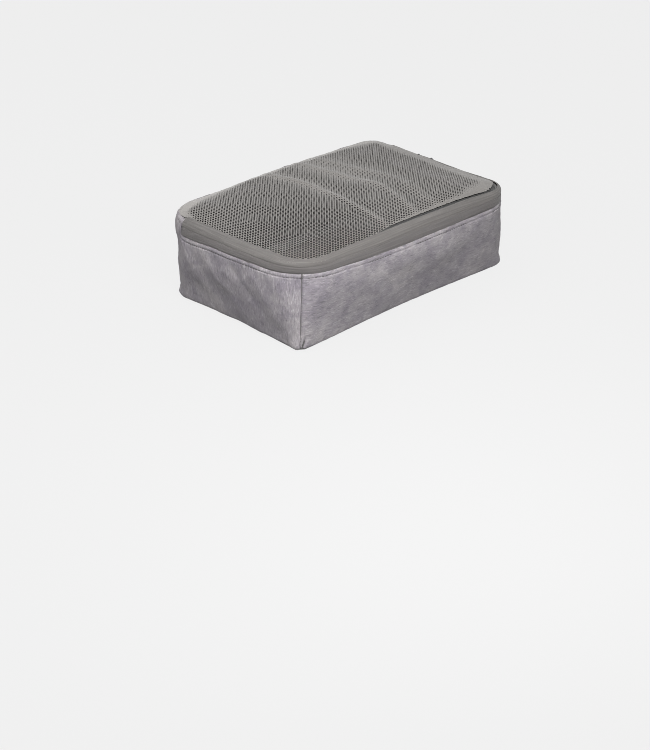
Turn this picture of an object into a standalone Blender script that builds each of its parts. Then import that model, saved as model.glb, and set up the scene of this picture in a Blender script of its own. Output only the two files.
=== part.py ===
"""Packing cube: a soft rectangular case whose mesh lid is zipped round three sides.

Metres, +Z up. The origin is the middle of the underside of the floor. +X runs along the length, to the short
end that carries the handle and the two sliders. The zip's long run is on the -Y side, and the lid folds on the
+Y side. Places round the case are given in turns: whole turns are the middles of the upright corners, 0 front
left, 1 front right, 2 back right and 3 back left, and a place between them is a share of that side's length.
"""

import math

import bmesh
import bpy
import numpy as np
from mathutils import Matrix, Vector

# Driving dimensions
FLOOR_LENGTH = 0.250
FLOOR_WIDTH = 0.160
BELLY_LENGTH = 0.2586
BELLY_WIDTH = 0.1752
RIM_LENGTH = 0.244
RIM_WIDTH = 0.165
BAND_FOOT = 0.0625
PARTING = 0.0694
RIM = 0.0753
CROWN = 0.0050

# Thicknesses and clearances
CLOTH = 0.0012
TAPE = 0.0008
MESH = 0.0010
BINDING = 0.0008
GAP = 0.0004
SEAM_GAP = 0.0008
BINDING_GAP = 0.0006
TOE = 0.0004
TAPE_INSET = 0.0006

# The zip: #3 coil, closed along its middle line
PARTING_GAP = 0.0005
COIL_HEIGHT = 0.0017
COIL_DEPTH = 0.0012
COIL_INSET = TAPE_INSET + TAPE + GAP
ZIP_END = 0.130
STOP_LENGTH = 0.012

# Sliders, their bails and their pull tabs
SLIDERS_MEET = 0.0240
SLIDER_PLACE = 0.0052
SLIDER_LIMIT = 0.0472
SLIDER_LENGTH = 0.0095
SLIDER_REACH = 0.0033
SLIDER_PLATE = 0.0012
SLIDER_WEB = 0.0004
SLIDER_TOE_IN = 0.0008
RUNNING_GAP = 0.0003
BAIL_LENGTH = 0.0062
BAIL_THICKNESS = 0.0010
BAIL_HEIGHT = 0.0026
BAIL_WIDTH = 0.0014
BAIL_CHAMFER = 0.0006
PULL_LENGTH = 0.0220
PULL_WIDTH = 0.0064
PULL_THICKNESS = 0.0009
PULL_CHAMFER = 0.0008
PULL_DROOP = math.radians(25.0)
PULL_PIN_OUT = 0.00075
PULL_PIN_ALONG = 0.0010
SLOT_END = 0.0033
SLOT_WIDTH = 0.0034
GRIP_HOLE = 0.0011

# Bias bindings inside: heights, and how far each reaches round its seam, in turns
BOTTOM_BINDING = (0.0042, 0.0080)
CORNER_BINDING = (0.0086, 0.0600)
CORNER_BINDING_REACH = (0.022, 0.030)
HINGE_BINDING = (RIM - 0.0080, RIM - 0.0028)
HINGE_BINDING_ENDS = (2.07, 2.93)

# How far out from the middle of the lid its rings lie
LID_RINGS = (1.0, 0.97, 0.9, 0.78, 0.6, 0.35, 0.1)

# Webbing handle
HANDLE_LOW = 0.028
HANDLE_HIGH = 0.048
HANDLE_HALF_LENGTH = 0.056
HANDLE_FREE_HALF = 0.045
HANDLE_BOW = 0.0034
WEBBING = 0.0014

# Where the facets of a wall meet, as shares of its side
CORNER_STEPS = (0.0, 0.025, 0.050, 0.075, 0.105, 0.140, 0.180)
SIDE_STEPS = CORNER_STEPS + (0.26, 0.38, 0.50, 0.62, 0.74) + tuple(1 - step for step in CORNER_STEPS[:0:-1])
LEAST_STEP = 0.004

# Height, half length, half width and corner radius of the case from the floor to the rim
PROFILE = (
    (0.0000, FLOOR_LENGTH / 2 - 0.0035, FLOOR_WIDTH / 2 - 0.0035, 0.010),
    (0.0025, FLOOR_LENGTH / 2, FLOOR_WIDTH / 2, 0.012),
    (0.0090, FLOOR_LENGTH / 2 + 0.0012, FLOOR_WIDTH / 2 + 0.0016, 0.014),
    (0.0300, BELLY_LENGTH / 2 - 0.0011, BELLY_WIDTH / 2 - 0.0028, 0.022),
    (0.0500, BELLY_LENGTH / 2, BELLY_WIDTH / 2 - 0.0004, 0.032),
    (BAND_FOOT, BELLY_LENGTH / 2, BELLY_WIDTH / 2, 0.038),
    (PARTING, BELLY_LENGTH / 2 - 0.0019, BELLY_WIDTH / 2 - 0.0016, 0.033),
    (RIM, RIM_LENGTH / 2, RIM_WIDTH / 2, 0.023),
)

# Height, then how far the middle of the front, right, back and left walls bows out
BOWS = (
    (0.0, -0.0015, 0.0000, 0.0000, -0.0015),
    (BAND_FOOT, 0.0018, 0.0000, 0.0020, 0.0040),
    (RIM, -0.0024, 0.0022, 0.0015, 0.0020),
)
RIGHT_SIDE = 1


def new_collection(name):
    collection = bpy.data.collections.new(name)
    bpy.context.scene.collection.children.link(collection)
    return collection


for old in list(bpy.data.objects):
    bpy.data.objects.remove(old, do_unlink=True)
PARTS = new_collection("packing_cube")
CUTTERS = new_collection("cutters")


def material(name, colour, roughness, metallic=0.0):
    made = bpy.data.materials.new(name)
    made.use_nodes = True
    shader = made.node_tree.nodes["Principled BSDF"]
    shader.inputs["Base Color"].default_value = (*colour, 1.0)
    shader.inputs["Roughness"].default_value = roughness
    shader.inputs["Metallic"].default_value = metallic
    return made


def at_height(table, height):
    """The rest of a table's row at this height, read between its rows."""
    heights = [row[0] for row in table]
    return [float(np.interp(height, heights, column)) for column in list(zip(*table))[1:]]


def bowed(bow, along, corner_along):
    """How far a wall bows out here: all of it in mid-wall, none at the corners."""
    return bow * (1.0 - min(1.0, (along / corner_along) ** 2)) ** 2


def wall_point(turn, height, inset=0.0):
    """A point of the case's outer surface, or of one that is inset from it."""
    half_length, half_width, radius = at_height(PROFILE, height)
    half_length -= inset
    half_width -= inset
    radius -= inset
    side = int(math.floor(turn)) % 4
    reach, out = (half_length, half_width) if side % 2 == 0 else (half_width, half_length)
    arc = radius * math.pi / 4
    straight = 2 * (reach - radius)
    run = (turn - math.floor(turn)) * (2 * arc + straight)
    if run < arc:
        angle = math.pi / 4 - run / radius
        along = -(reach - radius) - radius * math.sin(angle)
        away = out - radius + radius * math.cos(angle)
    elif run < arc + straight:
        along = run - arc - (reach - radius)
        away = out
    else:
        angle = (run - arc - straight) / radius
        along = (reach - radius) + radius * math.sin(angle)
        away = out - radius + radius * math.cos(angle)
    corner_along = reach - radius + radius * math.sin(math.pi / 4)
    away += bowed(at_height(BOWS, height)[side], along, corner_along)
    flat = Vector((along, -away, height))
    return Matrix.Rotation(side * math.pi / 2, 3, "Z") @ flat


def right_face(y, height, inset=0.0):
    """How far out the right wall's surface is, in the stretch where its plan is straight."""
    half_length, half_width, radius = at_height(PROFILE, height)
    corner_along = half_width - radius + (radius - inset) * math.sin(math.pi / 4)
    return half_length - inset + bowed(at_height(BOWS, height)[RIGHT_SIDE], y, corner_along)


def finish(obj, surface, collection=PARTS):
    for old in list(obj.users_collection):
        old.objects.unlink(obj)
    collection.objects.link(obj)
    obj.data.materials.clear()
    obj.data.materials.append(surface)
    return obj


def grid_object(name, rows, surface, closed=False):
    """A surface through rows of points, each row running anticlockwise seen from above."""
    mesh = bpy.data.meshes.new(name)
    shape = bmesh.new()
    grid = [[shape.verts.new(point) for point in row] for row in rows]
    for lower, upper in zip(grid[:-1], grid[1:]):
        columns = len(lower) if closed else len(lower) - 1
        for step in range(columns):
            following = (step + 1) % len(lower)
            shape.faces.new((lower[step], lower[following], upper[following], upper[step]))
    shape.to_mesh(mesh)
    shape.free()
    obj = bpy.data.objects.new(name, mesh)
    return finish(obj, surface)


def loft(name, sections, surface, closed=False):
    """A solid through closed sections of equal count, capped at its ends or joined into a ring."""
    mesh = bpy.data.meshes.new(name)
    shape = bmesh.new()
    loops = [[shape.verts.new(point) for point in section] for section in sections]
    following_loops = loops[1:] + loops[:1] if closed else loops[1:]
    for near, far in zip(loops, following_loops):
        for step in range(len(near)):
            following = (step + 1) % len(near)
            shape.faces.new((near[step], near[following], far[following], far[step]))
    if not closed:
        shape.faces.new(loops[0])
        shape.faces.new(loops[-1])
    bmesh.ops.recalc_face_normals(shape, faces=shape.faces)
    shape.to_mesh(mesh)
    shape.free()
    obj = bpy.data.objects.new(name, mesh)
    return finish(obj, surface)


def thicken(obj, thickness, outwards=False):
    shell = obj.modifiers.new("thickness", "SOLIDIFY")
    shell.thickness = thickness
    shell.offset = 1.0 if outwards else -1.0
    shell.use_even_offset = True
    return obj


def turns_between(start, end):
    """The places from start to end that the walls are cut at, close together round the corners."""
    places = [side + share for side in range(int(start), int(end) + 1) for share in SIDE_STEPS]
    return [start] + [turn for turn in places if start + LEAST_STEP < turn < end - LEAST_STEP] + [end]


def wall(name, start, end, low, high, surface, inset=0.0, thickness=CLOTH, closed=False):
    """A stretch of cloth round the case, from one turn to another and between two heights."""
    heights = [low] + [row[0] for row in PROFILE if low < row[0] < high] + [high]
    turns = turns_between(start, end)
    sections = []
    for turn in turns[:-1] if closed else turns:
        outside = [wall_point(turn, height, inset) for height in heights]
        inside = [wall_point(turn, height, inset + thickness) for height in reversed(heights)]
        sections.append(outside + inside)
    return loft(name, sections, surface, closed)


def seam_share(side):
    """Half the gap between two panels at an upright seam, as a share of that side."""
    length = FLOOR_LENGTH if side % 2 == 0 else FLOOR_WIDTH
    return 0.5 * SEAM_GAP / length


def make_floor(surface):
    turns = turns_between(0.0, 4.0)[:-1]
    mesh = bpy.data.meshes.new("bottom_panel")
    shape = bmesh.new()
    inset = CLOTH + GAP
    shape.faces.new([shape.verts.new(wall_point(turn, 0.0, inset)) for turn in turns])
    shape.to_mesh(mesh)
    shape.free()
    floor = finish(bpy.data.objects.new("bottom_panel", mesh), surface)
    return thicken(floor, CLOTH, outwards=True)


def make_mesh_panel(surface):
    """The lid's window, a low dome inside the rim."""
    inset = TAPE_INSET
    turns = turns_between(0.0, 4.0)[:-1]
    rings = []
    for share in LID_RINGS:
        rise = CROWN * (1.0 - share**4)
        edge = [wall_point(turn, RIM, inset) for turn in turns]
        rings.append([Vector((point.x * share, point.y * share, RIM + rise)) for point in edge])
    panel = grid_object("mesh_panel", rings, surface, closed=True)
    shape = bmesh.new()
    shape.from_mesh(panel.data)
    shape.verts.ensure_lookup_table()
    shape.faces.new(shape.verts[-len(turns):])
    shape.to_mesh(panel.data)
    shape.free()
    return thicken(panel, MESH)


def make_zip(tape_cloth, coil_plastic):
    start = 3.0 + ZIP_END
    end = 6.0 - ZIP_END
    under = PARTING - PARTING_GAP
    over = PARTING + PARTING_GAP
    wall("lower_zip_tape", start, end, BAND_FOOT + GAP, under, tape_cloth, TAPE_INSET, TAPE)
    wall("upper_zip_tape", start, end, over, RIM - MESH - GAP, tape_cloth, TAPE_INSET, TAPE)
    coil_start = start + STOP_LENGTH
    coil_end = end - STOP_LENGTH
    wall("lower_zip_coil", coil_start, coil_end, under - COIL_HEIGHT, under, coil_plastic, COIL_INSET, COIL_DEPTH)
    wall("upper_zip_coil", coil_start, coil_end, over, over + COIL_HEIGHT, coil_plastic, COIL_INSET, COIL_DEPTH)


def make_zip_ends(cloth, coil_plastic):
    """The cloth past each end of the zip, and the stop inside it."""
    share = seam_share(3)
    trim = GAP / FLOOR_WIDTH
    low = BAND_FOOT + GAP
    high = RIM - MESH - GAP
    wall("left_zip_end_tab", 3.0 + share, 3.0 + ZIP_END - trim, low, high, cloth)
    wall("right_zip_end_tab", 2.0 - ZIP_END + trim, 2.0 - share, low, high, cloth)
    stop = STOP_LENGTH - 2 * trim
    stop_low = PARTING - PARTING_GAP - COIL_HEIGHT
    stop_high = PARTING - PARTING_GAP
    left = 3.0 + ZIP_END
    right = 2.0 - ZIP_END
    wall("left_zip_stop", left, left + stop, stop_low, stop_high, coil_plastic, COIL_INSET, COIL_DEPTH)
    wall("right_zip_stop", right - stop, right, stop_low, stop_high, coil_plastic, COIL_INSET, COIL_DEPTH)


def make_bindings(surface):
    inside = CLOTH + BINDING_GAP
    wall("bottom_binding", 0.0, 4.0, *BOTTOM_BINDING, surface, inside, BINDING, closed=True)
    corners = ("front_left", "front_right", "back_right", "back_left")
    for corner, name in enumerate(corners, start=4):
        half = CORNER_BINDING_REACH[corner % 2]
        wall(name + "_binding", corner - half, corner + half, *CORNER_BINDING, surface, inside, BINDING)
    wall("hinge_binding", *HINGE_BINDING_ENDS, *HINGE_BINDING, surface, inside, BINDING)
    low = PARTING + PARTING_GAP + COIL_HEIGHT + GAP
    wall("lid_binding", 3.0 + ZIP_END, 6.0 - ZIP_END, low, RIM - MESH - GAP, surface, COIL_INSET, BINDING)


def make_handle(surface):
    """A flat strap sewn down at both ends, with a little slack between them."""
    rows = []
    for height in np.linspace(HANDLE_LOW, HANDLE_HIGH, 4):
        row = []
        for y in np.linspace(-HANDLE_HALF_LENGTH, HANDLE_HALF_LENGTH, 25):
            free = abs(y) < HANDLE_FREE_HALF
            lift = HANDLE_BOW * math.cos(math.pi * y / (2 * HANDLE_FREE_HALF)) ** 2 if free else 0.0
            row.append(Vector((right_face(y, height) + GAP + lift, y, height)))
        rows.append(row)
    return thicken(grid_object("handle_strap", rows, surface), WEBBING, outwards=True)


def flat_curve(name, outlines, thickness, matrix, surface, collection=PARTS):
    """A plate cut to closed outlines, the first of them its edge and the others holes."""
    curve = bpy.data.curves.new(name, "CURVE")
    curve.dimensions = "2D"
    curve.fill_mode = "BOTH"
    curve.extrude = thickness / 2
    for outline in outlines:
        spline = curve.splines.new("POLY")
        spline.points.add(len(outline) - 1)
        for point, (x, y) in zip(spline.points, outline):
            point.co = (x, y, 0.0, 1.0)
        spline.use_cyclic_u = True
    obj = bpy.data.objects.new(name, curve)
    obj.matrix_world = matrix
    return finish(obj, surface, collection)


def as_mesh(obj, surface, collection):
    """The same object as a welded mesh, which a Boolean can use."""
    bpy.context.view_layer.update()
    evaluated = obj.evaluated_get(bpy.context.evaluated_depsgraph_get())
    mesh = bpy.data.meshes.new_from_object(evaluated)
    shape = bmesh.new()
    shape.from_mesh(mesh)
    bmesh.ops.remove_doubles(shape, verts=shape.verts, dist=1e-6)
    bmesh.ops.recalc_face_normals(shape, faces=shape.faces)
    shape.to_mesh(mesh)
    shape.free()
    name = obj.name
    matrix = obj.matrix_world.copy()
    bpy.data.objects.remove(obj, do_unlink=True)
    made = bpy.data.objects.new(name, mesh)
    made.matrix_world = matrix
    return finish(made, surface, collection)


def slider_faces():
    """The inner face of the outer plate and the outer face of the inner plate, clear of the zip all along."""
    reach = SLIDER_LIMIT + SLIDER_LENGTH / 2
    places = np.linspace(-reach, reach, 25)
    heights = np.linspace(PARTING - SLIDER_REACH, PARTING + SLIDER_REACH, 9)
    outer = max(right_face(y, height, TAPE_INSET) for y in places for height in heights)
    coil_top = PARTING + PARTING_GAP + COIL_HEIGHT
    inner = min(right_face(y, coil_top, COIL_INSET + COIL_DEPTH) for y in places)
    return outer + RUNNING_GAP, inner - RUNNING_GAP


def plate_outline(outer, inner):
    """The slider from its end: two plates joined by a thin web, as x and z about the parting line."""
    web = SLIDER_WEB / 2
    top = SLIDER_REACH - SLIDER_TOE_IN
    return [
        (outer, -SLIDER_REACH), (outer + SLIDER_PLATE, -SLIDER_REACH),
        (outer + SLIDER_PLATE, SLIDER_REACH), (outer, SLIDER_REACH),
        (outer, web), (inner, web), (inner, top), (inner - SLIDER_PLATE, top),
        (inner - SLIDER_PLATE, -SLIDER_REACH), (inner, -SLIDER_REACH), (inner, -web), (outer, -web),
    ]


def bail_outline():
    """The arch that the pull hangs on, as x out of the plate and y along the zip."""
    half = BAIL_LENGTH / 2
    clear = half - BAIL_THICKNESS
    under = BAIL_HEIGHT - BAIL_THICKNESS
    root = -SLIDER_PLATE / 2
    return [
        (root, -half), (BAIL_HEIGHT - BAIL_CHAMFER, -half), (BAIL_HEIGHT, -half + BAIL_CHAMFER),
        (BAIL_HEIGHT, half - BAIL_CHAMFER), (BAIL_HEIGHT - BAIL_CHAMFER, half), (root, half),
        (root, clear), (under, clear), (under, -clear), (root, -clear),
    ]


def pull_outlines():
    """The tab, its slot for the bail and its grip hole, with the hinge axis at the origin."""
    pin = PULL_THICKNESS / 2
    half = PULL_WIDTH / 2
    tip = PULL_LENGTH - half
    edge = [(-pin, -half + PULL_CHAMFER), (-pin + PULL_CHAMFER, -half), (tip, -half)]
    edge += [(tip + half * math.cos(a), half * math.sin(a)) for a in np.radians((-60, -30, 0, 30, 60))]
    edge += [(tip, half), (-pin + PULL_CHAMFER, half), (-pin, half - PULL_CHAMFER)]
    slot_half = SLOT_WIDTH / 2
    slot = [(pin, -slot_half), (SLOT_END, -slot_half), (SLOT_END, slot_half), (pin, slot_half)]
    grip = [
        (tip + GRIP_HOLE * math.cos(a), GRIP_HOLE * math.sin(a))
        for a in np.linspace(0.0, 2 * math.pi, 12, endpoint=False)
    ]
    return [edge, slot, grip]


def make_slider(name, end, metal):
    """One slider and its pull; end is +1 for the one that runs back, -1 for the one that runs forward."""
    outer, inner = slider_faces()
    middle = SLIDERS_MEET + end * SLIDER_PLACE
    upright = Matrix(((1, 0, 0), (0, 0, -1), (0, 1, 0))).to_4x4()
    place = Matrix.Translation((0.0, middle, PARTING)) @ upright
    outline = [plate_outline(outer, inner)]
    body = flat_curve(name + "_slider", outline, SLIDER_LENGTH, place, metal)
    body = as_mesh(body, metal, PARTS)
    bail_place = Matrix.Translation((outer + SLIDER_PLATE, middle, PARTING))
    bail = flat_curve(name + "_bail", [bail_outline()], BAIL_WIDTH, bail_place, metal, CUTTERS)
    bail = as_mesh(bail, metal, CUTTERS)
    bail.hide_render = True
    bail.display_type = "WIRE"
    union = body.modifiers.new("bail", "BOOLEAN")
    union.operation = "UNION"
    union.object = bail

    along = Vector((0.0, end * math.cos(PULL_DROOP), -math.sin(PULL_DROOP)))
    outwards = Vector((1.0, 0.0, 0.0))
    across = outwards.cross(along)
    hinge = Vector((outer + SLIDER_PLATE + PULL_PIN_OUT, middle + end * PULL_PIN_ALONG, PARTING))
    turned = Matrix((along, across, outwards)).transposed().to_4x4()
    pull_place = Matrix.Translation(hinge) @ turned
    flat_curve(name + "_pull", pull_outlines(), PULL_THICKNESS, pull_place, metal)


def main():
    cloth = material("heather_polyester", (0.290, 0.270, 0.285), 0.85)
    mesh_cloth = material("knitted_mesh", (0.300, 0.295, 0.270), 0.80)
    tape_cloth = material("zip_tape", (0.215, 0.205, 0.190), 0.75)
    coil_plastic = material("zip_coil", (0.170, 0.165, 0.155), 0.45)
    binding_cloth = material("binding", (0.120, 0.118, 0.115), 0.85)
    webbing = material("webbing", (0.200, 0.192, 0.195), 0.80)
    metal = material("slider_metal", (0.180, 0.180, 0.185), 0.35, 0.9)

    make_floor(cloth)
    sides = ("front_panel", "right_panel", "back_panel", "left_panel")
    for side, name in enumerate(sides):
        high = RIM - MESH - GAP if name == "back_panel" else BAND_FOOT
        share = seam_share(side)
        wall(name, side + share, side + 1 - share, TOE, high, cloth)
    make_zip_ends(cloth, coil_plastic)
    make_zip(tape_cloth, coil_plastic)
    make_mesh_panel(mesh_cloth)
    make_bindings(binding_cloth)
    make_handle(webbing)
    make_slider("rear", 1, metal)
    make_slider("front", -1, metal)


main()
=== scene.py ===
"""Looks of the packing cube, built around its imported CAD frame.

Metres, in the frame's own axes: +X along the length, -Y the side that the zip opens, +Z up. Places round
the case are given in turns: whole turns are the middles of the upright corners, 0 front left,
1 front right, 2 back right and 3 back left.
"""

import math
from contextlib import contextmanager

import bmesh
import bpy
import numpy as np
from mathutils import Matrix, Vector


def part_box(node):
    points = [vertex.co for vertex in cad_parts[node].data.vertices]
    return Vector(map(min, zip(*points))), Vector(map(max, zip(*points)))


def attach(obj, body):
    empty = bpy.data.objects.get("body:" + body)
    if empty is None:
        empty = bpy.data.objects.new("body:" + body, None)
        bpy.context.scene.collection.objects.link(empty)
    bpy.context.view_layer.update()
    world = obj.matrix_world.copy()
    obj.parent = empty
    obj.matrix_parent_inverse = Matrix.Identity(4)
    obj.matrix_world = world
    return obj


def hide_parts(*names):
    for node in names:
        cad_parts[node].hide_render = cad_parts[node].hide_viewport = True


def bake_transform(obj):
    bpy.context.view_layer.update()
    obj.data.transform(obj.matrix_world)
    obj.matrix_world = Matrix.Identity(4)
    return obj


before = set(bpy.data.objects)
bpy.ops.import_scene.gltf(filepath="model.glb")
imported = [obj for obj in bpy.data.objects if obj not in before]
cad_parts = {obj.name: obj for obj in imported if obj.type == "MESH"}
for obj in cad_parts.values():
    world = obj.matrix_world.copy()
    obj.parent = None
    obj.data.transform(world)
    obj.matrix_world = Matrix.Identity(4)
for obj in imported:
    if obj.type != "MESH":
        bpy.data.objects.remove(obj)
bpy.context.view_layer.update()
MM = 0.001
MERGE_DISTANCE = 0.01 * MM
TAU = 2 * math.pi


def in_mm(*rows):
    """A table of turns, each with a size in millimetres, as metres."""
    return tuple((turn, size * MM) for turn, size in rows)


# Heights and half sizes, from the frame
BAND_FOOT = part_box("front_panel")[1].z + 1.2 * MM
PARTING = (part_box("lower_zip_tape")[1].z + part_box("upper_zip_tape")[0].z) / 2
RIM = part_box("back_panel")[1].z + 1.4 * MM
FLOOR_HALF = (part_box("bottom_panel")[1].x + 5.1 * MM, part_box("bottom_panel")[1].y + 5.1 * MM)
BELLY_HALF = (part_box("right_panel")[1].x, -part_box("front_panel")[0].y - 1.8 * MM)
RIM_HALF = (0.122, 0.0825)
FRONT, RIGHT, BACK, LEFT = 0, 1, 2, 3
SIDE_LENGTH = {FRONT: 0.246, RIGHT: 0.158, BACK: 0.246, LEFT: 0.158}
ZIP_END = 0.130
CLOTH_RIM = RIM - 0.9 * MM


def case_row(height, half, longer, wider, radius):
    """A height, then half the length, half the width and the corner radius, from changes in millimetres."""
    return height, half[0] + longer * MM, half[1] + wider * MM, radius * MM


PROFILE = (
    case_row(0.0, FLOOR_HALF, -0.9, -0.9, 9),
    case_row(2.5 * MM, FLOOR_HALF, 0.6, 0.6, 10),
    case_row(9.0 * MM, FLOOR_HALF, 1.2, 1.6, 14),
    case_row(30.0 * MM, BELLY_HALF, -1.1, -2.8, 22),
    case_row(50.0 * MM, BELLY_HALF, 0.0, -0.4, 32),
    case_row(BAND_FOOT, BELLY_HALF, 0.0, 0.0, 38),
    case_row(PARTING, BELLY_HALF, -1.1, -0.9, 34),
    case_row(RIM - 2.8 * MM, BELLY_HALF, -2.6, -2.1, 30),
    case_row(RIM, RIM_HALF, 0.0, 0.0, 23),
)
# Height, then how far the middle of the front, right, back and left walls bows out
BOWS = (
    (0.0, -3.6 * MM, -1.0 * MM, -1.0 * MM, -3.2 * MM),
    (12.0 * MM, -1.6 * MM, 0.0, 0.0, -1.0 * MM),
    (BAND_FOOT, 1.8 * MM, 0.0, 2.0 * MM, 4.0 * MM),
    (RIM, -2.4 * MM, 2.2 * MM, 1.5 * MM, 2.0 * MM),
)
# Height, then how much rounder the front left, front right, back right and back left corners are there
ROUNDING = (
    (0.0, 1.0, 1.6, 1.0, 2.1),
    (9.0 * MM, 1.0, 1.5, 1.2, 1.8),
    (30.0 * MM, 1.0, 1.32, 1.2, 1.50),
    (50.0 * MM, 1.0, 1.18, 1.1, 1.28),
    (BAND_FOOT, 1.0, 1.0, 1.0, 1.0),
    (RIM, 1.05, 1.05, 0.7, 1.15),
)
# Turn, then how far the rim stands above or below its usual height there
RIM_SAG = in_mm(
    (0.0, 0.0), (0.75, 0.0), (1.0, -1.6), (1.2, -3.2), (1.42, -3.0), (1.62, -1.2), (1.9, 1.0), (2.0, 2.4),
    (2.5, 1.7), (2.85, -0.4), (3.0, 0.0), (3.5, 0.0), (4.0, 0.0),
)
# Turn, then how far the foot of the zip band hangs below its usual height there
FOOT_SAG = in_mm(
    (0.0, 0.0), (0.12, 0.0), (0.3, -1.9), (0.85, -2.1), (1.0, -2.6), (1.15, 0.0), (2.85, 0.0),
    (3.05, -3.6), (3.18, -3.2), (3.45, 0.0), (4.0, 0.0),
)
FOOT_REACH = 40 * MM


# ---- shape of the case

def read_smoothly(table, height):
    """The columns of a table at these heights, on a smooth curve through its rows."""
    rows = np.array(table, float)
    knots = rows[:, 0]
    height = np.clip(np.asarray(height, float), knots[0], knots[-1])
    place = np.clip(np.searchsorted(knots, height, side="right") - 1, 0, len(knots) - 2)
    step = knots[place + 1] - knots[place]
    share = (height - knots[place]) / step
    columns = []
    for values in rows.T[1:]:
        slope = np.gradient(values, knots)
        rise = values[place + 1] - values[place]
        curve = (3 - 2 * share) * share**2
        lean = share * (1 - share) * ((1 - share) * slope[place] - share * slope[place + 1]) * step
        columns.append(values[place] + rise * curve + lean)
    return columns


def smooth_step(value):
    share = np.clip(value, 0, 1)
    return (3 - 2 * share) * share**2


def sag(table, turn):
    """The table's value at each turn, with smooth steps between its rows."""
    knots, sags = np.array(table).T
    turn = np.mod(turn, 4)
    place = np.clip(np.searchsorted(knots, turn, side="right") - 1, 0, len(knots) - 2)
    share = (turn - knots[place]) / (knots[place + 1] - knots[place])
    return sags[place] + (sags[place + 1] - sags[place]) * (3 - 2 * share) * share**2


def case_point(turn, height, inset=0.0):
    """Points of the case's outer surface, or of one inset from it."""
    turn, height = np.broadcast_arrays(np.asarray(turn, float), np.asarray(height, float))
    half_length, half_width, radius = read_smoothly(PROFILE, height)
    side = np.floor(turn).astype(int) % 4
    lid_share = np.clip((height - BAND_FOOT) / (RIM - BAND_FOOT), 0, 1)
    reach = np.where(side % 2 == 0, half_length, half_width) - inset
    out = np.where(side % 2 == 0, half_width, half_length) - inset
    rounding = read_smoothly(ROUNDING, height)
    near = radius * np.choose(side, rounding) - inset
    far = radius * np.choose((side + 1) % 4, rounding) - inset
    straight = 2 * reach - near - far
    run = (turn - np.floor(turn)) * ((near + far) * math.pi / 4 + straight)
    near_angle = np.clip(math.pi / 4 - run / near, 0, None)
    far_angle = np.clip((run - near * math.pi / 4 - straight) / far, 0, None)
    along = np.clip(run - near * math.pi / 4, 0, straight) - (reach - near)
    along = along - near * np.sin(near_angle) + far * np.sin(far_angle)
    away = out - near * (1 - np.cos(near_angle)) - far * (1 - np.cos(far_angle))
    spring = 1 - math.sqrt(0.5)
    corner = np.where(along < 0, reach - near * spring, reach - far * spring)
    bow = np.choose(side, read_smoothly(BOWS, height))
    away = away + bow * (1 - np.clip((along / corner) ** 2, 0, 1)) ** 2
    angle = side * math.pi / 2
    x = along * np.cos(angle) + away * np.sin(angle)
    y = along * np.sin(angle) - away * np.cos(angle)
    foot_reach = np.where(height > BAND_FOOT, RIM - BAND_FOOT, FOOT_REACH)
    foot_share = np.clip(1 - np.abs(height - BAND_FOOT) / foot_reach, 0, 1)
    sunk = sag(RIM_SAG, turn) * lid_share**2 + sag(FOOT_SAG, turn) * (3 - 2 * foot_share) * foot_share**2
    return np.stack([x, y, height + sunk], axis=-1)


def unit(vectors):
    length = np.linalg.norm(vectors, axis=-1, keepdims=True)
    return vectors / np.maximum(length, 1e-12)


def case_frame(turn, height, inset=0.0):
    """Points on the case, with the outward normal and the direction along the wall."""
    turn, height = np.asarray(turn), np.asarray(height)
    turn_step, height_step = 2e-4, 3e-4
    point = case_point(turn, height, inset)
    along = unit(case_point(turn + turn_step, height, inset) - case_point(turn - turn_step, height, inset))
    lifted = np.clip(height + height_step, 0, RIM)
    lowered = np.clip(height - height_step, 0, RIM)
    upward = unit(case_point(turn, lifted, inset) - case_point(turn, lowered, inset))
    return point, unit(np.cross(along, upward)), along


def bump(distance, width):
    return np.exp(-(distance / width) ** 2)


def waves(u, v, wavelength, seed, count=14):
    """Smooth unevenness of about this wavelength, with a mean of 0 and a spread of about 1."""
    random = np.random.default_rng(seed)
    angle = random.uniform(0, math.pi, count)
    length = wavelength * random.uniform(0.7, 1.6, count)
    phase = random.uniform(0, TAU, count)
    total = np.zeros(np.broadcast(u, v).shape)
    for a, l, p in zip(angle, length, phase):
        total += np.sin((u * math.cos(a) + v * math.sin(a)) * TAU / l + p)
    return total * math.sqrt(2.0 / count)


# ---- mesh building

def add_object(name, data):
    obj = bpy.data.objects.new(name, data)
    bpy.context.scene.collection.objects.link(obj)
    return obj


@contextmanager
def edited(mesh):
    """The mesh opened for editing, and written back at the end."""
    shape = bmesh.new()
    shape.from_mesh(mesh)
    yield shape
    shape.to_mesh(mesh)
    shape.free()


def face_outwards(obj):
    with edited(obj.data) as shape:
        bmesh.ops.recalc_face_normals(shape, faces=shape.faces)


def grid_faces(rows, columns, close_rows=False, close_columns=False):
    """The vertex numbers of a grid, and its quads. Either way of the grid can close on itself."""
    index = np.arange(rows * columns).reshape(rows, columns)
    wrapped = np.concatenate([index, index[:1]]) if close_rows else index
    if close_columns:
        wrapped = np.concatenate([wrapped, wrapped[:, :1]], axis=1)
    quads = np.stack([wrapped[:-1, :-1], wrapped[:-1, 1:], wrapped[1:, 1:], wrapped[1:, :-1]], axis=-1)
    return index, quads.reshape(-1, 4).tolist()


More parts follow.
